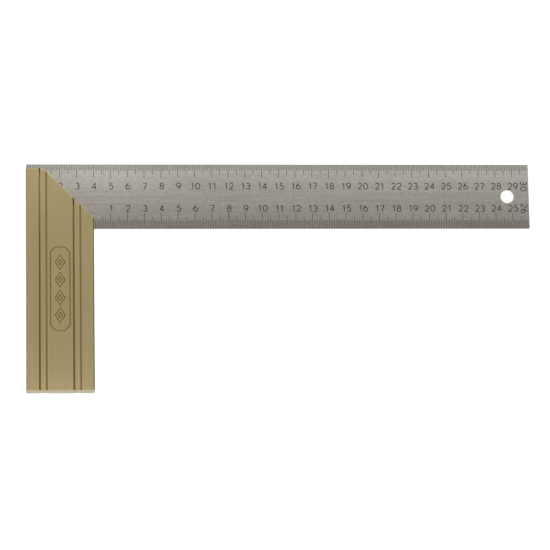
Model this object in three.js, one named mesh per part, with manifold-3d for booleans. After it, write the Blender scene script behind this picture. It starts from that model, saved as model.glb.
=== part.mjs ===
// Try and mitre square: a 300 mm graduated steel blade fixed at a right angle in an aluminium stock.
//
// Millimetres. The origin is the inside corner of the square, where the stock's working face meets the blade's
// inner edge, at the middle of the blade's thickness. +X runs along the blade to its free end, +Y runs across the
// blade to its outer edge, and +Z is the outward direction of the front faces. The square lies flat on its back.

import * as THREE from 'three';
import { mergeVertices } from 'three/addons/utils/BufferGeometryUtils.js';
import Module from 'manifold-3d';

const wasm = await Module();
wasm.setup();

// ---------------------------------------------------------------- driving dimensions

const BLADE_LENGTH = 300; // outer edge, graduated 0 to 30 cm
const BLADE_WIDTH = 39;
const BLADE_THICKNESS = 1;
const BLADE_CORNER_RADIUS = 0.5;

const HANGING_HOLE_RADIUS = 4;
const HANGING_HOLE_FROM_END = 13;

const STOCK_WIDTH = 40; // inner graduation starts here, 4 cm after the outer one
const STOCK_LENGTH = 133;
const STOCK_THICKNESS = 12;
const STOCK_EDGE_RADIUS = 0.9; // the rolled edges of the drawn bar
const BLADE_PROUD = 3.5; // how far the blade's outer edge stands above the stock's top end
const MITRE_FLAT = 10; // what the 45 degree cut leaves of the stock's top end

const CHANNEL_FROM_EDGE = 7.5; // two shallow channels along each broad face
const CHANNEL_WIDTH = 5; // at the mouth
const CHANNEL_DEPTH = 1;
const CHANNEL_WALL_RUN = 1; // each wall slopes at 45 degrees

const SLOT_CLEARANCE = 0.05; // between the blade and the saw slot, on every side

const PIN_RADIUS = 2; // driven in from the back and ground flush with it
const PIN_LENGTH = 9;
const PIN_CLEARANCE = 0.03;
const PIN_CENTRES = [[-36, 28.5], [-36, 7], [-15, 7]]; // on the flat lands, as far apart as the mitre allows

const ARC_SEGMENTS = 4; // per quarter turn of an edge rounding
const HOLE_SEGMENTS = 64;
const PIN_SEGMENTS = 40;
const CUT_MARGIN = 2; // how far a cutting shape runs past what it cuts

// ---------------------------------------------------------------- derived dimensions

const stockTop = BLADE_WIDTH - BLADE_PROUD;
const stockBottom = stockTop - STOCK_LENGTH;
const backFace = -STOCK_THICKNESS / 2;
const mitreRun = STOCK_WIDTH - MITRE_FLAT;
const slotWidth = BLADE_THICKNESS + 2 * SLOT_CLEARANCE;

// ---------------------------------------------------------------- materials

const anodisedAluminium = new THREE.MeshStandardMaterial({ color: 0x998b63, roughness: 0.42, metalness: 0.85 });
const groundSteel = new THREE.MeshStandardMaterial({ color: 0xa09c94, roughness: 0.34, metalness: 1.0 });
const pinSteel = new THREE.MeshStandardMaterial({ color: 0xb4b1aa, roughness: 0.28, metalness: 1.0 });

// ---------------------------------------------------------------- solids: three.js geometry in, three.js geometry out

function solidOf(geometry) {
	const bare = geometry.clone();
	bare.deleteAttribute('normal');
	bare.deleteAttribute('uv');
	const merged = mergeVertices(bare, 1e-5);
	return new wasm.Manifold(new wasm.Mesh({
		numProp: 3,
		vertProperties: new Float32Array(merged.attributes.position.array),
		triVerts: new Uint32Array(merged.index.array),
	}));
}

function geometryOf(solid) {
	const mesh = solid.getMesh();
	const geometry = new THREE.BufferGeometry();
	geometry.setAttribute('position', new THREE.BufferAttribute(new Float32Array(mesh.vertProperties), 3));
	geometry.setIndex(new THREE.BufferAttribute(new Uint32Array(mesh.triVerts), 1));
	geometry.computeVertexNormals();
	return geometry;
}

function cutAway(geometry, cutters) {
	let solid = solidOf(geometry);
	for (const cutter of cutters) solid = solid.subtract(solidOf(cutter));
	return geometryOf(solid);
}

// A box from its lowest corner to its highest.
function boxBetween(low, high) {
	const size = high.map((value, i) => value - low[i]);
	const middle = high.map((value, i) => (value + low[i]) / 2);
	return new THREE.BoxGeometry(...size).translate(...middle);
}

// A round bar along Z, from z = low to z = high.
function roundBar(x, y, radius, low, high, segments) {
	return new THREE.CylinderGeometry(radius, radius, high - low, segments)
		.rotateX(Math.PI / 2)
		.translate(x, y, (low + high) / 2);
}

// ---------------------------------------------------------------- stock

// The outline goes along a broad face from one side of the bar towards the other, down into each channel and out.
function addChannels(outline, fromX, direction, faceY) {
	const floorY = faceY - Math.sign(faceY) * CHANNEL_DEPTH;
	const starts = [CHANNEL_FROM_EDGE, STOCK_WIDTH - CHANNEL_FROM_EDGE - CHANNEL_WIDTH];
	for (const start of starts) {
		const near = fromX + direction * start;
		const far = near + direction * CHANNEL_WIDTH;
		outline.lineTo(near, faceY);
		outline.lineTo(near + direction * CHANNEL_WALL_RUN, floorY);
		outline.lineTo(far - direction * CHANNEL_WALL_RUN, floorY);
		outline.lineTo(far, faceY);
	}
}

// The drawn bar's section: X across the stock, Y through its thickness.
function stockSection() {
	const left = -STOCK_WIDTH;
	const right = 0;
	const top = STOCK_THICKNESS / 2;
	const r = STOCK_EDGE_RADIUS;
	const outline = new THREE.Shape();
	outline.moveTo(left + r, -top);
	addChannels(outline, left, 1, -top);
	outline.absarc(right - r, -top + r, r, -Math.PI / 2, 0);
	outline.absarc(right - r, top - r, r, 0, Math.PI / 2);
	addChannels(outline, right, -1, top);
	outline.absarc(left + r, top - r, r, Math.PI / 2, Math.PI);
	outline.absarc(left + r, -top + r, r, Math.PI, 1.5 * Math.PI);
	return outline;
}

// The corner that the mitre takes off, seen from the front.
function mitreCutter() {
	const corner = new THREE.Shape();
	corner.moveTo(-mitreRun - CUT_MARGIN, stockTop + CUT_MARGIN);
	corner.lineTo(CUT_MARGIN, stockTop - mitreRun - CUT_MARGIN);
	corner.lineTo(CUT_MARGIN, stockTop + CUT_MARGIN);
	const depth = STOCK_THICKNESS + 2 * CUT_MARGIN;
	return new THREE.ExtrudeGeometry(corner, { depth, bevelEnabled: false }).translate(0, 0, -depth / 2);
}

function makeStock() {
	const bar = new THREE.ExtrudeGeometry(stockSection(), {
		depth: STOCK_LENGTH,
		bevelEnabled: false,
		curveSegments: ARC_SEGMENTS,
	});
	bar.rotateX(Math.PI / 2).translate(0, stockTop, 0);
	const slot = boxBetween(
		[-STOCK_WIDTH - CUT_MARGIN, -SLOT_CLEARANCE, -slotWidth / 2],
		[CUT_MARGIN, stockTop + CUT_MARGIN, slotWidth / 2],
	);
	const pinBores = PIN_CENTRES.map(([x, y]) => roundBar(
		x, y, PIN_RADIUS + PIN_CLEARANCE,
		backFace - CUT_MARGIN, backFace + PIN_LENGTH + PIN_CLEARANCE, PIN_SEGMENTS,
	));
	return new THREE.Mesh(cutAway(bar, [slot, mitreCutter(), ...pinBores]), anodisedAluminium);
}

// ---------------------------------------------------------------- blade

function roundedRectangle(width, height, radius) {
	const outline = new THREE.Shape();
	outline.absarc(width - radius, radius, radius, -Math.PI / 2, 0);
	outline.absarc(width - radius, height - radius, radius, 0, Math.PI / 2);
	outline.absarc(radius, height - radius, radius, Math.PI / 2, Math.PI);
	outline.absarc(radius, radius, radius, Math.PI, 1.5 * Math.PI);
	return outline;
}

// The blade's own frame has its origin at the stock end's inner corner, half way through the thickness.
function makeBlade() {
	const rule = new THREE.ExtrudeGeometry(roundedRectangle(BLADE_LENGTH, BLADE_WIDTH, BLADE_CORNER_RADIUS), {
		depth: BLADE_THICKNESS,
		bevelEnabled: false,
		curveSegments: ARC_SEGMENTS,
	});
	rule.translate(0, 0, -BLADE_THICKNESS / 2);
	const hangingHole = roundBar(
		BLADE_LENGTH - HANGING_HOLE_FROM_END, BLADE_WIDTH / 2, HANGING_HOLE_RADIUS,
		-CUT_MARGIN, CUT_MARGIN, HOLE_SEGMENTS,
	);
	const pinHoles = PIN_CENTRES.map(([x, y]) => roundBar(
		x + STOCK_WIDTH, y, PIN_RADIUS + PIN_CLEARANCE, -CUT_MARGIN, CUT_MARGIN, PIN_SEGMENTS,
	));
	return new THREE.Mesh(cutAway(rule, [hangingHole, ...pinHoles]), groundSteel);
}

// ---------------------------------------------------------------- fixing pins

// A pin stands on its own origin, which is the middle of the end that shows in the stock's back.
function makePin() {
	return new THREE.Mesh(roundBar(0, 0, PIN_RADIUS, 0, PIN_LENGTH, PIN_SEGMENTS), pinSteel);
}

// ---------------------------------------------------------------- assembly

const square = new THREE.Group();
square.name = 'try_square';

const stock = makeStock();
stock.name = 'stock';
square.add(stock);

const blade = makeBlade();
blade.name = 'blade';
blade.position.x = -STOCK_WIDTH;
square.add(blade);

const pins = new THREE.Group();
pins.position.z = backFace;
PIN_CENTRES.forEach(([x, y], i) => {
	const pin = makePin();
	pin.name = `fixing_pin_${i + 1}`;
	pin.position.set(x, y, 0);
	pins.add(pin);
});
square.add(pins);

export default square;
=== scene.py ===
# %% [markdown]
# # A try and mitre square
#
# A woodworker's and metalworker's square: a thin steel rule is held at a right angle in a thick bar of
# aluminium, the stock. The stock's top is sawn off at 45 degrees, so the same tool marks square and mitre
# lines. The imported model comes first. It fixes the frame: metres, the origin in the inside corner of the
# square, X along the blade, Y across it, and Z out of the front faces.

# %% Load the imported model
import math

import bmesh
import bpy
from mathutils import Matrix, Vector


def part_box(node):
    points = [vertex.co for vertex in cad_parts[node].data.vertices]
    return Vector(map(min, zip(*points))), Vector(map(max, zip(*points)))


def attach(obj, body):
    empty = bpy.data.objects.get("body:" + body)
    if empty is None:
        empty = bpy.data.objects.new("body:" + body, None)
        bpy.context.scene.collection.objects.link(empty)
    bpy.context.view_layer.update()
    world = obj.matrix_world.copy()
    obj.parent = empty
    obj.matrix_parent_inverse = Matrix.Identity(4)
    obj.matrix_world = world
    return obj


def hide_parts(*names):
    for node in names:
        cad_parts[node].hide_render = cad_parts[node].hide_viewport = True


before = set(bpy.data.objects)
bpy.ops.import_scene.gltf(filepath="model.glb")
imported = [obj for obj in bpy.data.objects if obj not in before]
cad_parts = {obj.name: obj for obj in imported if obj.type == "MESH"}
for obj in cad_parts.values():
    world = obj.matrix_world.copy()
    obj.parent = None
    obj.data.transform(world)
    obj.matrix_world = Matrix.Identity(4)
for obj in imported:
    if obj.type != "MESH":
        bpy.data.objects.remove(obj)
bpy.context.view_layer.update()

print("nodes:", sorted(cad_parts))

# %% Places and sizes read from the model
MM = 0.001
TINY = MM / 1000
stock_low, stock_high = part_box("stock")
blade_low, blade_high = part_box("blade")
blade_size = blade_high - blade_low
stock_size = stock_high - stock_low
print("blade, mm:", [round(v / MM, 2) for v in blade_size])
print("stock, mm:", [round(v / MM, 2) for v in stock_size])

# %% [markdown]
# ## The camera
#
# The square lies on its back and is seen almost from above, from a long way off with a long lens, as
# tools are shown in a catalogue. The camera leans back towards the stock's lower end, so that this end
# just shows, and stands over the stock rather than over the middle of the blade. An aim point, three
# small angles and a distance say it.

# %% Place the camera
CAMERA_AIM = Vector((107.06, -28.04, 0.0)) * MM
CAMERA_DISTANCE = 2020.1 * MM
CAMERA_PITCH = 0.19927
CAMERA_YAW = -0.07346
CAMERA_ROLL = -0.01641
CAMERA_LENS = 223.27
CAMERA_SENSOR = 36.0
CAMERA_SEES_TO = 20.0

camera_data = bpy.data.cameras.new("camera")
camera_data.lens = CAMERA_LENS
camera_data.sensor_width = CAMERA_SENSOR
camera_data.clip_end = CAMERA_SEES_TO
camera = bpy.data.objects.new("camera", camera_data)
bpy.context.scene.collection.objects.link(camera)
camera.rotation_euler = (CAMERA_PITCH, CAMERA_YAW, CAMERA_ROLL)
camera.location = CAMERA_AIM + camera.rotation_euler.to_matrix() @ Vector((0, 0, CAMERA_DISTANCE))
bpy.context.scene.camera = camera
print("camera at, m:", [round(v, 3) for v in camera.location])

# %% [markdown]
# ## Small helpers
#
# A piece is drafted as a bmesh, becomes an object at the origin, and is cut by other solids with a
# Boolean modifier that is applied at once. The Manifold solver is exact enough for hundreds of small cuts
# and takes a fraction of a second. With the material mode on transfer, what a cutter leaves has the
# cutter's own material, which is how a groove gets its paint.

# %% Make an object from a bmesh
def make_object(name, draft, *materials):
    mesh = bpy.data.meshes.new(name)
    draft.to_mesh(mesh)
    draft.free()
    for material in materials:
        mesh.materials.append(material)
    piece = bpy.data.objects.new(name, mesh)
    bpy.context.scene.collection.objects.link(piece)
    return piece


# %% Apply everything a piece's modifiers do
def settle(piece):
    graph = bpy.context.evaluated_depsgraph_get()
    finished = bpy.data.meshes.new_from_object(piece.evaluated_get(graph))
    finished.name = piece.name
    piece.modifiers.clear()
    piece.data = finished
    return piece


# %% Cut one piece with another, or join them
def combine(piece, other, operation, solver="MANIFOLD"):
    step = piece.modifiers.new("combine", "BOOLEAN")
    step.object = other
    step.operation = operation
    step.solver = solver
    step.material_mode = "TRANSFER"
    settle(piece)
    bpy.data.objects.remove(other)
    return piece


# %% A box and a round bar to cut with
def box_draft(low, high):
    draft = bmesh.new()
    bmesh.ops.create_cube(draft, size=1)
    bmesh.ops.scale(draft, vec=high - low, verts=draft.verts)
    bmesh.ops.translate(draft, vec=(low + high) / 2, verts=draft.verts)
    return draft


def bar_draft(x, y, radius, low, high, sides):
    draft = bmesh.new()
    bmesh.ops.create_cone(
        draft, cap_ends=True, segments=sides, radius1=radius, radius2=radius, depth=high - low
    )
    bmesh.ops.translate(draft, vec=(x, y, (low + high) / 2), verts=draft.verts)
    return draft


# %% Round or chamfer some edges of a draft
def soften(draft, edges, width, segments):
    bmesh.ops.bevel(
        draft,
        geom=edges,
        offset=width,
        offset_type="OFFSET",
        affect="EDGES",
        segments=segments,
        profile=0.5,
        material=-1,
        clamp_overlap=True,
    )


# %% Shade smooth, with the flats kept flat
def shade(piece, crease_angle):
    for face in piece.data.polygons:
        face.use_smooth = True
    piece.data.set_sharp_from_angle(angle=math.radians(crease_angle))
    weights = piece.modifiers.new("flat faces stay flat", "WEIGHTED_NORMAL")
    weights.keep_sharp = True
    weights.weight = 100


# %% [markdown]
# ## Shader groups
#
# Both metals were rubbed along their length: the blade on a grinding belt, the bar by its drawing die and
# a brush before it was anodised. So one group makes such lines. It stretches noise along the rubbing
# direction at three widths, from hairlines to broad bands, and gives out a value around one half.

# %% Node group helpers
def new_group(name, inputs, outputs):
    group = bpy.data.node_groups.new(name, "ShaderNodeTree")
    for label, kind, start in inputs:
        socket = group.interface.new_socket(name=label, in_out="INPUT", socket_type=kind)
        if start is not None:
            socket.default_value = start
    for label, kind in outputs:
        group.interface.new_socket(name=label, in_out="OUTPUT", socket_type=kind)
    return group, group.nodes.new("NodeGroupInput"), group.nodes.new("NodeGroupOutput")


def add(tree, kind, links=(), **values):
    node = tree.nodes.new(kind)
    for name, value in values.items():
        setattr(node, name, value)
    for socket, source in dict(links).items():
        if isinstance(source, bpy.types.NodeSocket):
            tree.links.new(source, node.inputs[socket])
        else:
            node.inputs[socket].default_value = source
    return node


def maths(tree, operation, first, second=None, third=None):
    links = {0: first}
    if second is not None:
        links[1] = second
    if third is not None:
        links[2] = third
    return add(tree, "ShaderNodeMath", links, operation=operation).outputs[0]


def noise(tree, vector, scale, detail=2.0, roughness=0.5):
    links = {"Vector": vector, "Scale": scale, "Detail": detail, "Roughness": roughness}
    return add(tree, "ShaderNodeTexNoise", links).outputs["Fac"]


def between(tree, value, low, high):
    links = {"Value": value, "From Min": low, "From Max": high, "To Min": 0.0, "To Max": 1.0}
    return add(tree, "ShaderNodeMapRange", links, clamp=True).outputs[0]


def blend_colour(tree, factor, first, second, blend_type="MIX"):
    node = tree.nodes.new("ShaderNodeMix")
    node.data_type = "RGBA"
    node.blend_type = blend_type
    for socket, source in ((node.inputs[0], factor), (node.inputs[6], first), (node.inputs[7], second)):
        if isinstance(source, bpy.types.NodeSocket):
            tree.links.new(source, socket)
        else:
            socket.default_value = source
    return node.outputs[2]


def multiply_colour(tree, first, second):
    return blend_colour(tree, 1.0, first, second, "MULTIPLY")


def grey(value):
    return (value, value, value, 1.0)


# %% Rubbed lines
HAIRLINE_SCALE = 6000.0
SCRATCH_SCALE = 1500.0
BAND_SCALE = 380.0

rubbed, rubbed_in, rubbed_out = new_group(
    "rubbed lines",
    [("Vector", "NodeSocketVector", None), ("Stretch", "NodeSocketVector", (1.0, 1.0, 1.0))],
    [("Hairlines", "NodeSocketFloat"), ("Scratches", "NodeSocketFloat"), ("Bands", "NodeSocketFloat")],
)
stretched = add(
    rubbed,
    "ShaderNodeVectorMath",
    {0: rubbed_in.outputs["Vector"], 1: rubbed_in.outputs["Stretch"]},
    operation="MULTIPLY",
).outputs[0]
rubbed.links.new(noise(rubbed, stretched, HAIRLINE_SCALE, detail=1.0), rubbed_out.inputs["Hairlines"])
rubbed.links.new(noise(rubbed, stretched, SCRATCH_SCALE, 3.0, 0.6), rubbed_out.inputs["Scratches"])
rubbed.links.new(noise(rubbed, stretched, BAND_SCALE), rubbed_out.inputs["Bands"])
print("group:", rubbed.name, [item.name for item in rubbed.interface.items_tree])

# %% [markdown]
# Handling leaves soft patches where skin oil dulls the metal, and here and there a short scratch that
# crosses the grain. A second group makes both: slow noise for the patches, and a stretched and turned
# noise, cut off high, for the odd scratch.

# %% Handling marks
PATCH_SCALE = 28.0
PATCH_FROM, PATCH_TO = 0.38, 0.68
ODD_SCRATCH_TURN = (0.0, 0.0, 0.7)
ODD_SCRATCH_STRETCH = (60.0, 1600.0, 60.0)
ODD_SCRATCH_FROM, ODD_SCRATCH_TO = 0.74, 0.8

handled, handled_in, handled_out = new_group(
    "handling marks",
    [("Vector", "NodeSocketVector", None)],
    [("Patches", "NodeSocketFloat"), ("Odd scratches", "NodeSocketFloat")],
)
patches = noise(handled, handled_in.outputs["Vector"], PATCH_SCALE, 3.0, 0.55)
turned = add(
    handled,
    "ShaderNodeMapping",
    {"Vector": handled_in.outputs["Vector"], "Rotation": ODD_SCRATCH_TURN, "Scale": ODD_SCRATCH_STRETCH},
).outputs[0]
odd = between(handled, noise(handled, turned, 1.0, detail=1.0), ODD_SCRATCH_FROM, ODD_SCRATCH_TO)
handled.links.new(between(handled, patches, PATCH_FROM, PATCH_TO), handled_out.inputs["Patches"])
handled.links.new(odd, handled_out.inputs["Odd scratches"])
print("group:", handled.name, [item.name for item in handled.interface.items_tree])


# %% A new metal with its grain set one way
def new_metal(name, grain_across, anisotropy):
    """grain_across is the direction across the rubbed lines, in which highlights spread."""
    material = bpy.data.materials.new(name)
    material.use_nodes = True
    tree = material.node_tree
    shader = tree.nodes["Principled BSDF"]
    shader.inputs["Metallic"].default_value = 1.0
    shader.inputs["Anisotropic"].default_value = anisotropy
    across = add(
        tree,
        "ShaderNodeVectorTransform",
        {"Vector": grain_across},
        vector_type="VECTOR",
        convert_from="OBJECT",
        convert_to="WORLD",
    )
    tree.links.new(across.outputs[0], shader.inputs["Tangent"])
    place = tree.nodes.new("ShaderNodeTexCoord").outputs["Object"]
    return material, tree, shader, place


def use_group(tree, group, place, **values):
    node = tree.nodes.new("ShaderNodeGroup")
    node.node_tree = group
    tree.links.new(place, node.inputs["Vector"])
    for name, value in values.items():
        node.inputs[name].default_value = value
    return node.outputs


def add_relief(tree, shader, height, strength, depth):
    """depth is in metres, the distance from the lowest to the highest point at full strength."""
    bump = add(tree, "ShaderNodeBump", {"Strength": strength, "Distance": depth, "Height": height})
    tree.links.new(bump.outputs[0], shader.inputs["Normal"])


# %% Values that the metals share
ALONG_X = (1.0, 0.0, 0.0)
ALONG_Y = (0.0, 1.0, 0.0)
ALONG_Z = (0.0, 0.0, 1.0)
GRAIN_FROM, GRAIN_TO = 0.3, 0.7
HAIRLINES_IN_RELIEF = 0.4
PATCH_DULLING = 0.05
FINE_DEPTH = 0.01 * MM

# %% [markdown]
# ## Ground steel
#
# The blade is rust-free steel, belt ground along its length: grey, a little warm, with fine lengthwise
# lines that catch the light unevenly, and a shorter grain between them. Shade is painted into its colour,
# darker towards the inner edge, so it is lightest along its outer edge. The tone, the roughness and the
# relief all follow the same lines, as they do on real ground steel.

# %% Ground steel
STEEL_LIGHT = (0.449, 0.429, 0.391, 1.0)
STEEL_DARK = (0.365, 0.348, 0.313, 1.0)
STEEL_IN_ODD_SCRATCH = (0.60, 0.58, 0.53, 1.0)
# Painted shade: at the blade's inner edge the steel's colour is darkened by this factor, standing in for
# light that falls off across the blade.
PAINTED_SHADE_AT_INNER_EDGE = (0.735, 0.705, 0.67, 1.0)
LONG_GRAIN = (0.02, 1.0, 1.0)
SHORT_GRAIN = (0.3, 1.0, 1.0)
SHORT_GRAIN_DARK = 0.87
SHORT_GRAIN_LIGHT = 1.13
ODD_SCRATCH_SHOWS = 0.35
BANDS_IN_STEEL = 0.5
STEEL_ROUGHNESS = 0.26
STEEL_LINES_ROUGHEN = 0.16
STEEL_RELIEF = 0.12


def steel_colour(tree, place, lines, marks):
    scratches = between(tree, lines["Scratches"], GRAIN_FROM, GRAIN_TO)
    bands = between(tree, lines["Bands"], GRAIN_FROM, GRAIN_TO)
    scratches = maths(tree, "MULTIPLY", scratches, 1.0 - BANDS_IN_STEEL)
    tone = maths(tree, "MULTIPLY_ADD", bands, BANDS_IN_STEEL, scratches)
    colour = blend_colour(tree, tone, STEEL_DARK, STEEL_LIGHT)
    short = use_group(tree, rubbed, place, Stretch=SHORT_GRAIN)["Scratches"]
    mottle = between(tree, short, GRAIN_FROM, GRAIN_TO)
    mottle = blend_colour(tree, mottle, grey(SHORT_GRAIN_DARK), grey(SHORT_GRAIN_LIGHT))
    colour = multiply_colour(tree, colour, mottle)
    odd = maths(tree, "MULTIPLY", marks["Odd scratches"], ODD_SCRATCH_SHOWS)
    return blend_colour(tree, odd, colour, STEEL_IN_ODD_SCRATCH)


# Painted shade: a factor that runs from darker at the blade's inner edge to 1 at its outer edge.
def tone_across_blade(tree, place):
    across = add(tree, "ShaderNodeSeparateXYZ", {"Vector": place}).outputs["Y"]
    outwards = between(tree, across, blade_low.y, blade_high.y)
    return blend_colour(tree, outwards, PAINTED_SHADE_AT_INNER_EDGE, grey(1.0))


def make_ground_steel():
    material, tree, shader, place = new_metal("ground steel", ALONG_Y, anisotropy=0.6)
    lines = use_group(tree, rubbed, place, Stretch=LONG_GRAIN)
    marks = use_group(tree, handled, place)
    colour = steel_colour(tree, place, lines, marks)
    # Painted shade across the blade, multiplied into the steel's colour.
    colour = multiply_colour(tree, colour, tone_across_blade(tree, place))
    tree.links.new(colour, shader.inputs["Base Color"])
    rough = maths(tree, "MULTIPLY_ADD", lines["Scratches"], STEEL_LINES_ROUGHEN, STEEL_ROUGHNESS)
    rough = maths(tree, "MULTIPLY_ADD", marks["Patches"], PATCH_DULLING, rough)
    tree.links.new(rough, shader.inputs["Roughness"])
    relief = maths(tree, "MULTIPLY_ADD", lines["Hairlines"], HAIRLINES_IN_RELIEF, lines["Scratches"])
    add_relief(tree, shader, relief, STEEL_RELIEF, FINE_DEPTH)
    return material


ground_steel = make_ground_steel()
print("material:", ground_steel.name, len(ground_steel.node_tree.nodes), "nodes")

# %% [markdown]
# ## Black filling
#
# The graduations are etched and filled with black, which lies a little below the steel. Etching leaves a
# slightly grainy floor, so the filling is dull and uneven, and thinner here and there.

# %% Black filling
FILLING_THICK = (0.008, 0.0075, 0.007, 1.0)
FILLING_THIN = (0.05, 0.046, 0.04, 1.0)
FILLING_GRAIN_SCALE = 3200.0
FILLING_WEAR_SCALE = 240.0
FILLING_WORN_FROM, FILLING_WORN_TO = 0.45, 0.75
FILLING_ROUGHNESS = 0.62
FILLING_RELIEF = 0.3


def make_black_filling():
    material = bpy.data.materials.new("black filling")
    material.use_nodes = True
    tree = material.node_tree
    shader = tree.nodes["Principled BSDF"]
    shader.inputs["Roughness"].default_value = FILLING_ROUGHNESS
    place = tree.nodes.new("ShaderNodeTexCoord").outputs["Object"]
    grain = noise(tree, place, FILLING_GRAIN_SCALE)
    thin = noise(tree, place, FILLING_WEAR_SCALE, detail=3.0)
    thin = between(tree, thin, FILLING_WORN_FROM, FILLING_WORN_TO)
    amount = maths(tree, "MULTIPLY", thin, grain)
    colour = blend_colour(tree, amount, FILLING_THICK, FILLING_THIN)
    tree.links.new(colour, shader.inputs["Base Color"])
    add_relief(tree, shader, grain, FILLING_RELIEF, FINE_DEPTH)
    return material


black_filling = make_black_filling()
print("material:", black_filling.name, len(black_filling.node_tree.nodes), "nodes")

# %% [markdown]
# ## Anodised aluminium
#
# The bar is brushed along its length, anodised and dyed a pale champagne gold. Dye takes unevenly, so the
# colour drifts a little between a greener and a pinker gold. The film wears first on the edges, where
# bare metal starts to show, so an attribute painted on the edge roundings drives that wear.

# %% Anodised aluminium
GOLD_GREENER = (0.52, 0.43, 0.195, 1.0)
GOLD_PINKER = (0.57, 0.44, 0.25, 1.0)
GOLD_IN_SCRATCHES = (0.40, 0.32, 0.15, 1.0)
BARE_ALUMINIUM = (0.74, 0.69, 0.56, 1.0)
BAR_GRAIN = (1.0, 0.02, 1.0)
BANDS_IN_DRIFT = 0.65
DRIFT_FROM, DRIFT_TO = 0.36, 0.64
SCRATCHES_DARKEN = 0.6
SCRATCHES_DARKEN_ABOVE = 0.25
EDGE_WEAR = 0.45
WEAR_SCALE = 420.0
WEAR_FROM, WEAR_TO = 0.5, 0.66
GOLD_ROUGHNESS = 0.22
GOLD_LINES_ROUGHEN = 0.12
GOLD_RELIEF = 0.25


def gold_colour(tree, lines, marks):
    bands = between(tree, lines["Bands"], DRIFT_FROM, DRIFT_TO)
    patches = maths(tree, "MULTIPLY", marks["Patches"], 1.0 - BANDS_IN_DRIFT)
    drift = maths(tree, "MULTIPLY_ADD", bands, BANDS_IN_DRIFT, patches)
    colour = blend_colour(tree, drift, GOLD_GREENER, GOLD_PINKER)
    start = -SCRATCHES_DARKEN * SCRATCHES_DARKEN_ABOVE
    darker = maths(tree, "MULTIPLY_ADD", lines["Scratches"], SCRATCHES_DARKEN, start)
    return blend_colour(tree, darker, colour, GOLD_IN_SCRATCHES)


def edge_wear(tree, place):
    on_edge = add(tree, "ShaderNodeAttribute", attribute_name="edge").outputs["Fac"]
    broken = between(tree, noise(tree, place, WEAR_SCALE, 4.0, 0.65), WEAR_FROM, WEAR_TO)
    return maths(tree, "MULTIPLY", maths(tree, "MULTIPLY", on_edge, broken), EDGE_WEAR)


def make_anodised():
    material, tree, shader, place = new_metal("champagne anodised aluminium", ALONG_X, anisotropy=0.25)
    lines = use_group(tree, rubbed, place, Stretch=BAR_GRAIN)
    marks = use_group(tree, handled, place)
    colour = gold_colour(tree, lines, marks)
    colour = blend_colour(tree, edge_wear(tree, place), colour, BARE_ALUMINIUM)
    tree.links.new(colour, shader.inputs["Base Color"])
    rough = maths(tree, "MULTIPLY_ADD", lines["Scratches"], GOLD_LINES_ROUGHEN, GOLD_ROUGHNESS)
    rough = maths(tree, "MULTIPLY_ADD", marks["Patches"], PATCH_DULLING, rough)
    tree.links.new(rough, shader.inputs["Roughness"])
    relief = maths(tree, "MULTIPLY_ADD", lines["Hairlines"], HAIRLINES_IN_RELIEF, lines["Scratches"])
    add_relief(tree, shader, relief, GOLD_RELIEF, FINE_DEPTH)
    return material


anodised = make_anodised()
print("material:", anodised.name, len(anodised.node_tree.nodes), "nodes")

# %% [markdown]
# ## Sawn and milled faces
#
# The bar's two ends and the mitre are cut after the bar is drawn, and they are paler than the brushed
# faces. A cutter leaves a regular ripple across its path, so a wave texture in the thickness direction
# gives the marks.

# %% Cut aluminium
CUT_DARK = (0.60, 0.52, 0.31, 1.0)
CUT_LIGHT = (0.70, 0.62, 0.40, 1.0)
CUTTER_GRAIN = (0.04, 0.04, 1.0)
RIPPLE_SCALE = 380.0
RIPPLE_DEPTH = 0.02 * MM
RIPPLE_RELIEF = 0.35
RIPPLE_ROUGHENS = 0.1
CUT_ROUGHNESS = 0.34
CUT_TONE_FROM = 0.1
SCRATCHES_IN_CUT = 0.7
SCRATCHES_IN_RIPPLE = 0.5


def make_cut_face():
    material, tree, shader, place = new_metal("milled aluminium end", ALONG_Z, anisotropy=0.3)
    lines = use_group(tree, rubbed, place, Stretch=CUTTER_GRAIN)
    ripple = add(
        tree,
        "ShaderNodeTexWave",
        {"Vector": place, "Scale": RIPPLE_SCALE, "Distortion": 1.6, "Detail": 2.0},
        wave_type="BANDS",
        bands_direction="Z",
    ).outputs["Fac"]
    tone = maths(tree, "MULTIPLY_ADD", lines["Scratches"], SCRATCHES_IN_CUT, CUT_TONE_FROM)
    colour = blend_colour(tree, tone, CUT_DARK, CUT_LIGHT)
    tree.links.new(colour, shader.inputs["Base Color"])
    rough = maths(tree, "MULTIPLY_ADD", ripple, RIPPLE_ROUGHENS, CUT_ROUGHNESS)
    tree.links.new(rough, shader.inputs["Roughness"])
    relief = maths(tree, "MULTIPLY_ADD", lines["Scratches"], SCRATCHES_IN_RIPPLE, ripple)
    add_relief(tree, shader, relief, RIPPLE_RELIEF, RIPPLE_DEPTH)
    return material


cut_face = make_cut_face()
print("material:", cut_face.name, len(cut_face.node_tree.nodes), "nodes")

# %% [markdown]
# ## Strokes
#
# Numerals on rules are cut by a tool that follows a single line, so each is a few strokes of one width. A
# stroke is a curve swept with a small section and cut away: a rectangle leaves the flat bottom of an
# etched mark, and a wedge the sloping walls of an engraved line. Strokes that cross are joined into one
# solid first, by the Exact solver, which allows for faces that touch. The same helper makes the ornament
# on the stock.

# %% Points along straight and round stretches
ARC_STEP = 15


def arc(x, y, across, up, start, end):
    steps = max(2, round(abs(end - start) / ARC_STEP))
    angles = [math.radians(start + (end - start) * i / steps) for i in range(steps + 1)]
    return [(x + across * math.cos(a), y + up * math.sin(a)) for a in angles]


# %% Sweep one stroke
FLAT_GROOVE = ((-0.5, -1), (0.5, -1), (0.5, 1), (-0.5, 1))
VEE_GROOVE = ((0, -1), (1, 1), (-1, 1))


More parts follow.
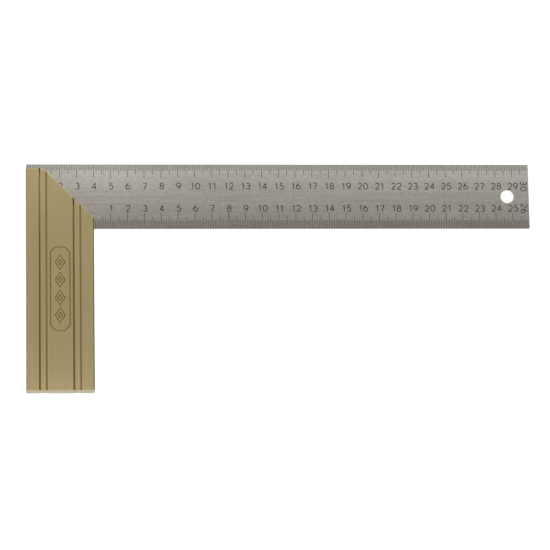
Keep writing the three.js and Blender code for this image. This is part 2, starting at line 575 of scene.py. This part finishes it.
def sweep(points, closed, width, depth, shape):
    """width is the groove's at the surface, and depth is how far it goes under it."""
    section = bpy.data.curves.new("section", "CURVE")
    corners = section.splines.new("POLY")
    corners.points.add(len(shape) - 1)
    corners.use_cyclic_u = True
    for point, (u, v) in zip(corners.points, shape):
        point.co = (u * width, v * depth, 0, 1)
    section_piece = bpy.data.objects.new("section", section)
    path = bpy.data.curves.new("stroke", "CURVE")
    path.dimensions = "3D"
    path.twist_mode = "Z_UP"
    path.bevel_mode = "OBJECT"
    path.bevel_object = section_piece
    path.use_fill_caps = True
    spline = path.splines.new("POLY")
    spline.points.add(len(points) - 1)
    spline.use_cyclic_u = closed
    for point, (x, y) in zip(spline.points, points):
        point.co = (x, y, 0, 1)
    stroke = bpy.data.objects.new("stroke", path)
    bpy.context.scene.collection.objects.link(section_piece)
    bpy.context.scene.collection.objects.link(stroke)
    graph = bpy.context.evaluated_depsgraph_get()
    mesh = bpy.data.meshes.new_from_object(stroke.evaluated_get(graph))
    draft = bmesh.new()
    draft.from_mesh(mesh)
    bmesh.ops.remove_doubles(draft, verts=draft.verts, dist=width / 1000)
    bmesh.ops.recalc_face_normals(draft, faces=draft.faces)
    for unused in (stroke, section_piece):
        bpy.data.objects.remove(unused)
    return draft


# %% Join strokes into one cutter
def strokes_object(name, strokes, width, depth, shape, material):
    whole = None
    for points, closed in strokes:
        part = make_object(name, sweep(points, closed, width, depth, shape), material)
        whole = part if whole is None else combine(whole, part, "UNION", "EXACT")
    return whole


# %% [markdown]
# ## Numerals
#
# Ten numerals, one unit high, drawn with straight and round strokes as a draughtsman's stencil has them.
# Most are about three fifths as wide as they are high. Each entry holds the width that the numeral takes
# up in a line, then its strokes, each with its points and whether it is a closed loop.

# %% The ten numerals
NUMERALS = {
    "0": (0.66, [(arc(0.33, 0.5, 0.33, 0.5, 90, 450)[:-1], True)]),
    "1": (0.46, [([(0.04, 0.78), (0.30, 1.0), (0.30, 0.0)], False)]),
    "2": (0.62, [(arc(0.31, 0.7, 0.29, 0.3, 165, -35) + [(0.0, 0.0), (0.62, 0.0)], False)]),
    "3": (0.60, [
        (arc(0.29, 0.75, 0.26, 0.25, 150, -90), False),
        (arc(0.29, 0.27, 0.31, 0.27, 105, -150), False),
    ]),
    "4": (0.64, [
        ([(0.46, 1.0), (0.0, 0.27), (0.64, 0.27)], False),
        ([(0.46, 0.0), (0.46, 1.0)], False),
    ]),
    "5": (0.60, [
        ([(0.54, 1.0), (0.12, 1.0), (0.06, 0.54)] + arc(0.28, 0.32, 0.32, 0.32, 120, -140), False),
    ]),
    "6": (0.62, [
        (arc(0.31, 0.31, 0.31, 0.31, 0, 360)[:-1], True),
        (arc(0.62, 0.31, 0.62, 0.69, 180, 110), False),
    ]),
    "7": (0.60, [([(0.0, 1.0), (0.60, 1.0), (0.20, 0.0)], False)]),
    "8": (0.60, [
        (arc(0.30, 0.76, 0.24, 0.24, 90, 450)[:-1], True),
        (arc(0.30, 0.27, 0.30, 0.27, 90, 450)[:-1], True),
    ]),
    "9": (0.62, [
        (arc(0.31, 0.69, 0.31, 0.31, 0, 360)[:-1], True),
        (arc(0.0, 0.69, 0.62, 0.69, 0, -70), False),
    ]),
}
NUMERAL_HEIGHT = 3.7 * MM
NUMERAL_GAP = 0.29
STROKE_WIDTH = 0.49 * MM
MARK_DEPTH = 0.06 * MM
SHARP_TURN = math.radians(50)
CORNER_RUN = 0.18
SHORTEST_BRACED = 0.3


# %% Keep a stroke's width at its corners
def brace_corners(points):
    """A sweep thins towards a sharp corner, so a point on either side of it keeps the rest at full width."""
    braced = [points[0]]
    for before, corner, after in zip(points, points[1:], points[2:]):
        arriving = Vector(corner) - Vector(before)
        leaving = Vector(after) - Vector(corner)
        sharp = arriving.angle(leaving) > SHARP_TURN
        if sharp and min(arriving.length, leaving.length) > SHORTEST_BRACED:
            run_in = Vector(corner) - arriving.normalized() * CORNER_RUN
            run_out = Vector(corner) + leaving.normalized() * CORNER_RUN
            braced += [tuple(run_in), corner, tuple(run_out)]
        else:
            braced.append(corner)
    return braced + [points[-1]]


# %% Make each numeral's cutter once
def numeral_mesh(character):
    strokes = [
        ([(x * NUMERAL_HEIGHT, y * NUMERAL_HEIGHT) for x, y in brace_corners(points)], closed)
        for points, closed in NUMERALS[character][1]
    ]
    piece = strokes_object("numeral", strokes, STROKE_WIDTH, MARK_DEPTH, FLAT_GROOVE, black_filling)
    mesh = piece.data
    bpy.data.objects.remove(piece)
    return mesh


numeral_meshes = {character: numeral_mesh(character) for character in NUMERALS}
print("numeral faces:", {c: len(m.polygons) for c, m in numeral_meshes.items()})


# %% Write a number as cutters
def write_number(draft, number, place):
    """Adds the numerals of number to draft, centred on place, which also turns them."""
    text = str(number)
    widths = [NUMERALS[c][0] for c in text]
    total = sum(widths) + NUMERAL_GAP * (len(text) - 1)
    left = -total / 2
    for character, width in zip(text, widths):
        before = len(draft.verts)
        draft.from_mesh(numeral_meshes[character])
        draft.verts.ensure_lookup_table()
        moved = Matrix.Translation((left * NUMERAL_HEIGHT, -NUMERAL_HEIGHT / 2, 0))
        bmesh.ops.transform(draft, matrix=place @ moved, verts=draft.verts[before:])
        left += width + NUMERAL_GAP


# %% [markdown]
# ## The graduations
#
# The outer edge counts from the stock's outer side, 0 to 30 centimetres, and the inner edge from the
# stock's working face, 0 to 26. Every millimetre has a mark, every fifth a longer one and every tenth the
# longest. The marks along the inner edge are longer than those along the outer one. Numerals stand on the
# ten-millimetre marks, and the last number on each scale is turned to fit before the blade's end. The
# back is graduated in the same way, so that the square can be turned over.

# %% Lay out one scale
MARK_WIDTH = 0.27 * MM
OUTER_MARKS = {"mm": 3.7 * MM, "five": 6.0 * MM, "ten": 8.1 * MM}
INNER_MARKS = {"mm": 5.0 * MM, "five": 7.0 * MM, "ten": 9.6 * MM}
OUTER_NUMERALS_FROM_EDGE = 13.2 * MM
INNER_NUMERALS_FROM_EDGE = 12.3 * MM
NUMERAL_SHIFT = 0.45 * MM
LAST_NUMBER_FROM_END = 3.0 * MM
EDGE_OVERRUN = 0.5 * MM


def mark_kind(millimetre):
    return "ten" if millimetre % 10 == 0 else "five" if millimetre % 5 == 0 else "mm"


def add_marks(draft, zero, count, edge, inwards, lengths, surface):
    """Box cutters for the marks from 1 to count - 1 mm after zero. inwards is -1 or 1 along Y."""
    for millimetre in range(1, count):
        length = lengths[mark_kind(millimetre)]
        box = bmesh.ops.create_cube(draft, size=1)["verts"]
        bmesh.ops.scale(draft, vec=(MARK_WIDTH, length + EDGE_OVERRUN, 2 * MARK_DEPTH), verts=box)
        middle = edge + inwards * (length - EDGE_OVERRUN) / 2
        bmesh.ops.translate(draft, vec=(zero + millimetre * MM, middle, surface), verts=box)


def add_numbers(draft, zero, count, y, front, surface):
    """Numbers on the ten-millimetre marks, and the last one turned to read down the blade's end."""
    facing = Matrix.Identity(4) if front else Matrix.Rotation(math.pi, 4, "Y")
    reading = 1 if front else -1
    for number in range(1, count):
        x = zero + number * 10 * MM + reading * NUMERAL_SHIFT
        write_number(draft, number, Matrix.Translation((x, y, surface)) @ facing)
    quarter = Matrix.Rotation(-math.pi / 2, 4, "Z")
    x = blade_high.x - LAST_NUMBER_FROM_END
    write_number(draft, count, Matrix.Translation((x, y, surface)) @ facing @ quarter)


# %% Cutters for one face of the blade
OUTER_LENGTH_CM = round(blade_size.x / (10 * MM))
INNER_LENGTH_CM = round((blade_high.x - stock_high.x) / (10 * MM))


def scale_cutters(front):
    surface = blade_high.z if front else blade_low.z
    draft = bmesh.new()
    add_marks(draft, blade_low.x, OUTER_LENGTH_CM * 10, blade_high.y, -1, OUTER_MARKS, surface)
    add_marks(draft, stock_high.x, INNER_LENGTH_CM * 10, blade_low.y, 1, INNER_MARKS, surface)
    outer_y = blade_high.y - OUTER_NUMERALS_FROM_EDGE
    inner_y = blade_low.y + INNER_NUMERALS_FROM_EDGE
    add_numbers(draft, blade_low.x, OUTER_LENGTH_CM, outer_y, front, surface)
    add_numbers(draft, stock_high.x, INNER_LENGTH_CM, inner_y, front, surface)
    return make_object("scale cutters", draft, black_filling)


# %% [markdown]
# ## The blade
#
# A strip of ground steel with its corners barely rounded and its edges just broken, so that they catch a
# line of light. It starts as a box, which is sliced between the marks, so that no face has to carry
# hundreds of grooves. The hanging hole is drilled and deburred, so its rims get a small chamfer, and the
# three fixing holes lie hidden in the stock. The scales are cut last.

# %% Blade blank
BLADE_CORNER = 0.5 * MM
BLADE_CORNER_STEPS = 5
BLADE_EDGE_BREAK = 0.04 * MM
EDGE_BREAK_STEPS = 2
HOLE_RADIUS = 4.0 * MM
HOLE_FROM_END = 13.0 * MM
HOLE_RIM = 0.15 * MM
HOLE_SIDES = 96
OVERRUN = 1.0 * MM
SLICE_SHIFT = 5.5
OUTER_MARKS_END = blade_high.y - 9.7 * MM
INNER_MARKS_END = blade_low.y + 10.05 * MM


def slice_draft(draft, where, across):
    """An extra loop of edges around a draft, in the plane that goes through where and faces across."""
    everything = draft.verts[:] + draft.edges[:] + draft.faces[:]
    bmesh.ops.bisect_plane(draft, geom=everything, dist=TINY, plane_co=where, plane_no=across)


def blade_blank():
    draft = box_draft(blade_low, blade_high)
    upright = [e for e in draft.edges if abs(e.verts[0].co.z - e.verts[1].co.z) > MM / 2]
    soften(draft, upright, BLADE_CORNER, BLADE_CORNER_STEPS)
    rims = [e for e in draft.edges if abs(e.verts[0].co.z - e.verts[1].co.z) < TINY]
    soften(draft, rims, BLADE_EDGE_BREAK, EDGE_BREAK_STEPS)
    for i in range(OUTER_LENGTH_CM):
        slice_draft(draft, (blade_low.x + (10 * i + SLICE_SHIFT) * MM, 0, 0), (1, 0, 0))
    for y in (INNER_MARKS_END, (blade_low.y + blade_high.y) / 2, OUTER_MARKS_END):
        slice_draft(draft, (0, y, 0), (0, 1, 0))
    return draft


def hole_cutter(x, y):
    """A round bar with a wide end at both faces, which leaves the rims chamfered."""
    draft = bar_draft(x, y, HOLE_RADIUS, blade_low.z - HOLE_RIM, blade_high.z + HOLE_RIM, HOLE_SIDES)
    for z in (blade_high.z - HOLE_RIM, blade_low.z + HOLE_RIM):
        everything = draft.verts[:] + draft.edges[:] + draft.faces[:]
        bmesh.ops.bisect_plane(draft, geom=everything, plane_co=(0, 0, z), plane_no=(0, 0, 1))
    ends = [v for v in draft.verts if abs(v.co.z) > blade_high.z]
    wider = (HOLE_RADIUS + 2 * HOLE_RIM) / HOLE_RADIUS
    bmesh.ops.scale(draft, vec=(wider, wider, 1), verts=ends, space=Matrix.Translation((-x, -y, 0)))
    return make_object("hole cutter", draft, ground_steel)


# %% Drill the blade and cut its scales
PIN_RADIUS = 2.0 * MM
PIN_CLEARANCE = 0.03 * MM
PIN_SIDES = 64
BLADE_CREASE = 30
pin_nodes = sorted(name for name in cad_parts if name.startswith("fixing_pin"))
pin_centres = [(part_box(name)[0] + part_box(name)[1]) / 2 for name in pin_nodes]

blade = make_object("graduated_blade", blade_blank(), ground_steel, black_filling)
hole_x = blade_high.x - HOLE_FROM_END
hole_y = (blade_low.y + blade_high.y) / 2
combine(blade, hole_cutter(hole_x, hole_y), "DIFFERENCE")
for centre in pin_centres:
    bottom, top = blade_low.z - OVERRUN, blade_high.z + OVERRUN
    drill = bar_draft(centre.x, centre.y, PIN_RADIUS + PIN_CLEARANCE, bottom, top, PIN_SIDES)
    combine(blade, make_object("drill", drill, ground_steel), "DIFFERENCE")
for front in (True, False):
    combine(blade, scale_cutters(front), "DIFFERENCE")
shade(blade, BLADE_CREASE)
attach(blade, "root")
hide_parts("blade")
print("blade faces:", len(blade.data.polygons), [m.name for m in blade.data.materials])

# %% [markdown]
# ## The stock
#
# A drawn bar, so it starts as its section: a rectangle with two shallow channels in each broad face. The
# section is a chain of corners that is filled and extruded. Its four outer corners are rounded by the
# die, and the channels' corners only slightly. A plane takes off the mitre, and the cut ends get a fine
# deburred edge. Then the saw slot and the pin bores are cut.

# %% The bar's section
CHANNEL_FROM_EDGE = 7.5 * MM
CHANNEL_WIDTH = 5.0 * MM
CHANNEL_DEPTH = 1.0 * MM
CHANNEL_WALL_RUN = 1.0 * MM
STOCK_EDGE_RADIUS = 0.9 * MM
STOCK_EDGE_STEPS = 6
CHANNEL_EDGE_RADIUS = 0.12 * MM


def broad_face_corners():
    """The front face's outline as (across, down from the face), from the bar's left to its right."""
    corners = [(0.0, 0.0)]
    for start in (CHANNEL_FROM_EDGE, stock_size.x - CHANNEL_FROM_EDGE - CHANNEL_WIDTH):
        corners += [
            (start, 0.0),
            (start + CHANNEL_WALL_RUN, CHANNEL_DEPTH),
            (start + CHANNEL_WIDTH - CHANNEL_WALL_RUN, CHANNEL_DEPTH),
            (start + CHANNEL_WIDTH, 0.0),
        ]
    return corners + [(stock_size.x, 0.0)]


def bar_draft_from_section():
    draft = bmesh.new()
    y = stock_low.y
    front = [(stock_low.x + across, y, stock_high.z - down) for across, down in broad_face_corners()]
    back = [(x, y, -z) for x, _, z in reversed(front)]
    section = draft.faces.new([draft.verts.new(corner) for corner in front + back])
    grown = bmesh.ops.extrude_face_region(draft, geom=[section])["geom"]
    top = [item for item in grown if isinstance(item, bmesh.types.BMVert)]
    bmesh.ops.translate(draft, vec=(0, stock_size.y, 0), verts=top)
    bmesh.ops.recalc_face_normals(draft, faces=draft.faces)
    return draft


# %% Round the long edges
CHANNEL_TURN = math.radians(30)
TOUCHES_WITHIN = 0.01 * MM


def is_long(edge):
    return abs(edge.verts[0].co.y - edge.verts[1].co.y) > stock_size.y / 2


def is_outer(vertex):
    side = min(abs(vertex.co.x - stock_low.x), abs(vertex.co.x - stock_high.x))
    face = min(abs(vertex.co.z - stock_low.z), abs(vertex.co.z - stock_high.z))
    return side < TOUCHES_WITHIN and face < TOUCHES_WITHIN


bar = bar_draft_from_section()
outer_edges = [e for e in bar.edges if is_long(e) and is_outer(e.verts[0])]
soften(bar, outer_edges, STOCK_EDGE_RADIUS, STOCK_EDGE_STEPS)
channel_edges = [e for e in bar.edges if is_long(e) and e.calc_face_angle(0) > CHANNEL_TURN]
soften(bar, channel_edges, CHANNEL_EDGE_RADIUS, EDGE_BREAK_STEPS)
print("bar faces after rounding:", len(bar.faces))

# %% Take off the mitre and break the cut edges
MITRE_FLAT = 10.0 * MM
CUT_EDGE_BREAK = 0.12 * MM
UPRIGHT_WITHIN = 0.01
FACES_ALONG_BAR = 0.6

corner = Vector((stock_low.x + MITRE_FLAT, stock_high.y, 0))
slant = Vector((1, 1, 0)).normalized()
everything = bar.verts[:] + bar.edges[:] + bar.faces[:]
cut = bmesh.ops.bisect_plane(
    bar, geom=everything, dist=TINY, plane_co=corner, plane_no=slant, clear_outer=True
)
open_rim = [item for item in cut["geom_cut"] if isinstance(item, bmesh.types.BMEdge)]
bmesh.ops.contextual_create(bar, geom=open_rim)
bmesh.ops.recalc_face_normals(bar, faces=bar.faces)


def is_cut(face):
    """The two ends and the mitre, which stand upright and face along Y or the slant."""
    return abs(face.normal.z) < UPRIGHT_WITHIN and abs(face.normal.y) > FACES_ALONG_BAR


bar.normal_update()
ends = [f for f in bar.faces if is_cut(f)]
for face in ends:
    face.material_index = 1
rims = list({edge for face in ends for edge in face.edges})
soften(bar, rims, CUT_EDGE_BREAK, EDGE_BREAK_STEPS)
print("cut faces:", len(ends), "bar faces:", len(bar.faces))

# %% Make the stock, then saw its slot and bore it for the pins
SLOT_CLEARANCE = 0.05 * MM

stock = make_object("slotted_stock", bar, anodised, cut_face)
slot_low = Vector((stock_low.x - OVERRUN, blade_low.y - SLOT_CLEARANCE, blade_low.z - SLOT_CLEARANCE))
slot_high = Vector((stock_high.x + OVERRUN, stock_high.y + OVERRUN, blade_high.z + SLOT_CLEARANCE))
combine(stock, make_object("saw", box_draft(slot_low, slot_high), cut_face), "DIFFERENCE")
for name, centre in zip(pin_nodes, pin_centres):
    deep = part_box(name)[1].z + PIN_CLEARANCE
    bore = bar_draft(centre.x, centre.y, PIN_RADIUS + PIN_CLEARANCE, stock_low.z - OVERRUN, deep, PIN_SIDES)
    combine(stock, make_object("bore", bore, cut_face), "DIFFERENCE")
print("stock faces:", len(stock.data.polygons))

# %% [markdown]
# ## The ornament
#
# The middle land of the front carries an engraved panel. Here it is plain geometry: a long frame with its
# corners cut off, and in it a column of lozenges, each with a smaller one inside. It is cut before
# anodising, so the groove is as gold as the faces around it.

# %% Engrave the panel
PANEL_WIDTH = 11.4 * MM
PANEL_LENGTH = 50.0 * MM
PANEL_MIDDLE_Y = -37.2 * MM
PANEL_CORNER = 3.0 * MM
PANEL_LINE = 0.7 * MM
PANEL_DEPTH = 0.35 * MM
LOZENGE_WIDTH = 5.6 * MM
LOZENGE_LENGTH = 9.0 * MM
LOZENGE_GAP = 1.6 * MM
LOZENGE_COUNT = 4
INNER_LOZENGE = 0.4


def cut_corner_frame(width, length, cut_off):
    x, y = width / 2, length / 2
    short_x, short_y = x - cut_off, y - cut_off
    upper = [(x, short_y), (short_x, y), (-short_x, y), (-x, short_y)]
    lower = [(-x, -short_y), (-short_x, -y), (short_x, -y), (x, -short_y)]
    return lower + upper


def lozenge(y, width, length):
    return [(0, y - length / 2), (width / 2, y), (0, y + length / 2), (-width / 2, y)]


def panel_strokes():
    strokes = [(cut_corner_frame(PANEL_WIDTH, PANEL_LENGTH, PANEL_CORNER), True)]
    pitch = LOZENGE_LENGTH + LOZENGE_GAP
    for i in range(LOZENGE_COUNT):
        y = (i - (LOZENGE_COUNT - 1) / 2) * pitch
        for size in (1.0, INNER_LOZENGE):
            strokes.append((lozenge(y, LOZENGE_WIDTH * size, LOZENGE_LENGTH * size), True))
    return strokes


panel = strokes_object("panel", panel_strokes(), PANEL_LINE, PANEL_DEPTH, VEE_GROOVE, anodised)
print("panel cutter faces:", len(panel.data.polygons))
panel_x = (stock_low.x + stock_high.x) / 2
panel.data.transform(Matrix.Translation((panel_x, PANEL_MIDDLE_Y, stock_high.z)))
combine(stock, panel, "DIFFERENCE")
print("stock faces with the panel:", len(stock.data.polygons))


# %% Paint the edge attribute, shade and hand over
SLANTED_BELOW = 0.999
STOCK_CREASE = 35


def from_mitre(place):
    return abs((place - corner).dot(slant))


def paint_edges(piece):
    """1 on the slanted faces along the bar's outer edges and round its cut ends, and 0 elsewhere."""
    attribute = piece.data.attributes.new("edge", "FLOAT", "FACE")
    for face in piece.data.polygons:
        middle = face.center
        side = min(abs(middle.x - stock_low.x), abs(middle.x - stock_high.x))
        end = min(abs(middle.y - stock_low.y), abs(middle.y - stock_high.y), from_mitre(middle))
        slanted = max(abs(part) for part in face.normal) < SLANTED_BELOW
        on_edge = side < STOCK_EDGE_RADIUS or end < CUT_EDGE_BREAK
        attribute.data[face.index].value = 1.0 if slanted and on_edge else 0.0


paint_edges(stock)
shade(stock, STOCK_CREASE)
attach(stock, "root")
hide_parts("stock")
print("worn edge faces:", sum(item.value for item in stock.data.attributes["edge"].data))

# %% [markdown]
# ## The fixing pins
#
# Three short steel pins go through the back of the stock and the blade and stop inside the front, so that
# the front stays plain. Their heads are ground flush with the back, in the same pass along the bar, so
# their lines run the bar's way. Grey steel in a gold bar is all that shows of them.

# %% Pin steel
PIN_DARK = (0.46, 0.45, 0.43, 1.0)
PIN_LIGHT = (0.66, 0.65, 0.63, 1.0)
PIN_GRAIN = (1.0, 0.05, 1.0)
PIN_ROUGHNESS = 0.22
PIN_PATCHES_ROUGHEN = 0.12
PIN_RELIEF = 0.3


def make_pin_steel():
    material, tree, shader, place = new_metal("ground pin steel", ALONG_X, anisotropy=0.3)
    lines = use_group(tree, rubbed, place, Stretch=PIN_GRAIN)
    marks = use_group(tree, handled, place)
    colour = blend_colour(tree, lines["Scratches"], PIN_DARK, PIN_LIGHT)
    tree.links.new(colour, shader.inputs["Base Color"])
    rough = maths(tree, "MULTIPLY_ADD", marks["Patches"], PIN_PATCHES_ROUGHEN, PIN_ROUGHNESS)
    tree.links.new(rough, shader.inputs["Roughness"])
    add_relief(tree, shader, lines["Scratches"], PIN_RELIEF, FINE_DEPTH)
    return material


pin_steel = make_pin_steel()
print("material:", pin_steel.name, len(pin_steel.node_tree.nodes), "nodes")

# %% Turn the pins
PIN_END_BREAK = 0.2 * MM
PIN_CREASE = 35

for number, (name, centre) in enumerate(zip(pin_nodes, pin_centres), 1):
    low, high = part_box(name)
    draft = bar_draft(centre.x, centre.y, PIN_RADIUS, low.z, high.z, PIN_SIDES)
    rim = [e for e in draft.edges if all(abs(v.co.z - high.z) < TINY for v in e.verts)]
    soften(draft, rim, PIN_END_BREAK, EDGE_BREAK_STEPS)
    pin = make_object(f"ground_pin_{number}", draft, pin_steel)
    shade(pin, PIN_CREASE)
    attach(pin, "root")
    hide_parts(name)
print("pins:", len(pin_nodes))

# %% [markdown]
# ## Floor and light
#
# The square lies on a light table, an acrylic sheet lit from below, which keeps the ground white almost up
# to the object's edge. Only the faintest shadow is left. The metals don't reflect the table itself but the
# tent round it, which is made last.

# %% Light table
TABLE_GLOW = 0.95
TABLE_GREY = 0.28
TABLE_ROUGHNESS = 0.9
TABLE_HALF_SIZE = 6.0

floor_draft = bmesh.new()
bmesh.ops.create_grid(floor_draft, x_segments=1, y_segments=1, size=TABLE_HALF_SIZE)
bmesh.ops.translate(floor_draft, vec=(0, 0, stock_low.z), verts=floor_draft.verts)
floor_paint = bpy.data.materials.new("lit acrylic")
floor_paint.use_nodes = True
floor_shader = floor_paint.node_tree.nodes["Principled BSDF"]
floor_shader.inputs["Base Color"].default_value = grey(TABLE_GREY)
floor_shader.inputs["Roughness"].default_value = TABLE_ROUGHNESS
floor_shader.inputs["Specular IOR Level"].default_value = 0.0
floor_shader.inputs["Emission Color"].default_value = grey(1.0)
floor_shader.inputs["Emission Strength"].default_value = TABLE_GLOW
floor = make_object("floor", floor_draft, floor_paint)
floor.visible_glossy = False
print("table glow:", TABLE_GLOW)

# %% [markdown]
# Three small lamps shape the light along the two parts. A long strip beyond the blade makes its outer
# edge the lighter one, helped by the shade painted into the steel's colour towards the inner edge, and a
# small panel at each end of the stock lifts the corner and the near end.
# Places and sizes are in metres, and power in watts.

# %% Lamps
def soft_panel(name, position, aim, size, power):
    lamp = bpy.data.lights.new(name, "AREA")
    lamp.shape = "RECTANGLE"
    lamp.size, lamp.size_y = size
    lamp.energy = power
    holder = bpy.data.objects.new(name, lamp)
    bpy.context.scene.collection.objects.link(holder)
    holder.location = position
    holder.rotation_euler = (Vector(aim) - Vector(position)).to_track_quat("-Z", "Y").to_euler()
    holder.visible_camera = False
    print(name, "watts:", power)


soft_panel(
    "strip beyond the blade",
    position=(0.17, 0.16, 0.15), aim=(0.17, 0.03, 0.0), size=(0.5, 0.08), power=0.37,
)
soft_panel(
    "small panel beyond the corner",
    position=(0.0, 0.13, 0.12), aim=(0.0, 0.03, 0.0), size=(0.06, 0.06), power=0.018,
)
soft_panel(
    "small panel over the near end",
    position=(-0.02, -0.1, 0.2), aim=(-0.02, -0.13, 0.0), size=(0.06, 0.06), power=0.0085,
)

# %% [markdown]
# The room is a light tent: even above, brighter below where the pale table throws light up, and moderate
# at table height. A black flag stands on the right, which draws the dark lines along the channels and the
# bar's right edge. A direction's three parts are all it needs. Each pair of numbers says where one tone
# has given way to the next.

# %% Light tent
TENT_ABOVE = 0.62
TENT_BELOW = 0.85
TENT_LEFT = 0.38
TENT_RIGHT = 0.01
ROOF_STARTS = (0.35, 0.9)
GROUND_STARTS = (0.2, 0.8)
FLAG_ENDS = (0.8, 0.45)
FLAG_STARTS_BESIDE = (-0.3, 0.5)
FLAG_STARTS_UNDER = (0.2, 0.7)

world = bpy.data.worlds.new("light tent")
bpy.context.scene.world = world
world.use_nodes = True
tent = world.node_tree
direction = tent.nodes.new("ShaderNodeTexCoord").outputs["Generated"]
parts = add(tent, "ShaderNodeSeparateXYZ", {"Vector": direction}).outputs
downwards = maths(tent, "MULTIPLY", parts["Z"], -1.0)
above = between(tent, parts["Z"], *ROOF_STARTS)
below = between(tent, downwards, *GROUND_STARTS)
flagged = between(tent, maths(tent, "ABSOLUTE", parts["Y"]), *FLAG_ENDS)
right_beside = maths(tent, "MULTIPLY", flagged, between(tent, parts["X"], *FLAG_STARTS_BESIDE))
right_under = maths(tent, "MULTIPLY", flagged, between(tent, parts["X"], *FLAG_STARTS_UNDER))
beside = blend_colour(tent, right_beside, grey(TENT_LEFT), grey(TENT_RIGHT))
under = blend_colour(tent, right_under, grey(TENT_BELOW), grey(TENT_RIGHT))
level = blend_colour(tent, above, beside, grey(TENT_ABOVE))
level = blend_colour(tent, below, level, under)
seen = tent.nodes.new("ShaderNodeLightPath").outputs["Is Camera Ray"]
level = blend_colour(tent, seen, level, grey(1.0))
tent.links.new(level, tent.nodes["Background"].inputs["Color"])
tent.nodes["Background"].inputs["Strength"].default_value = 1.0
bpy.context.scene.view_settings.view_transform = "Standard"
print("tent tones above, below, left, right:", TENT_ABOVE, TENT_BELOW, TENT_LEFT, TENT_RIGHT)
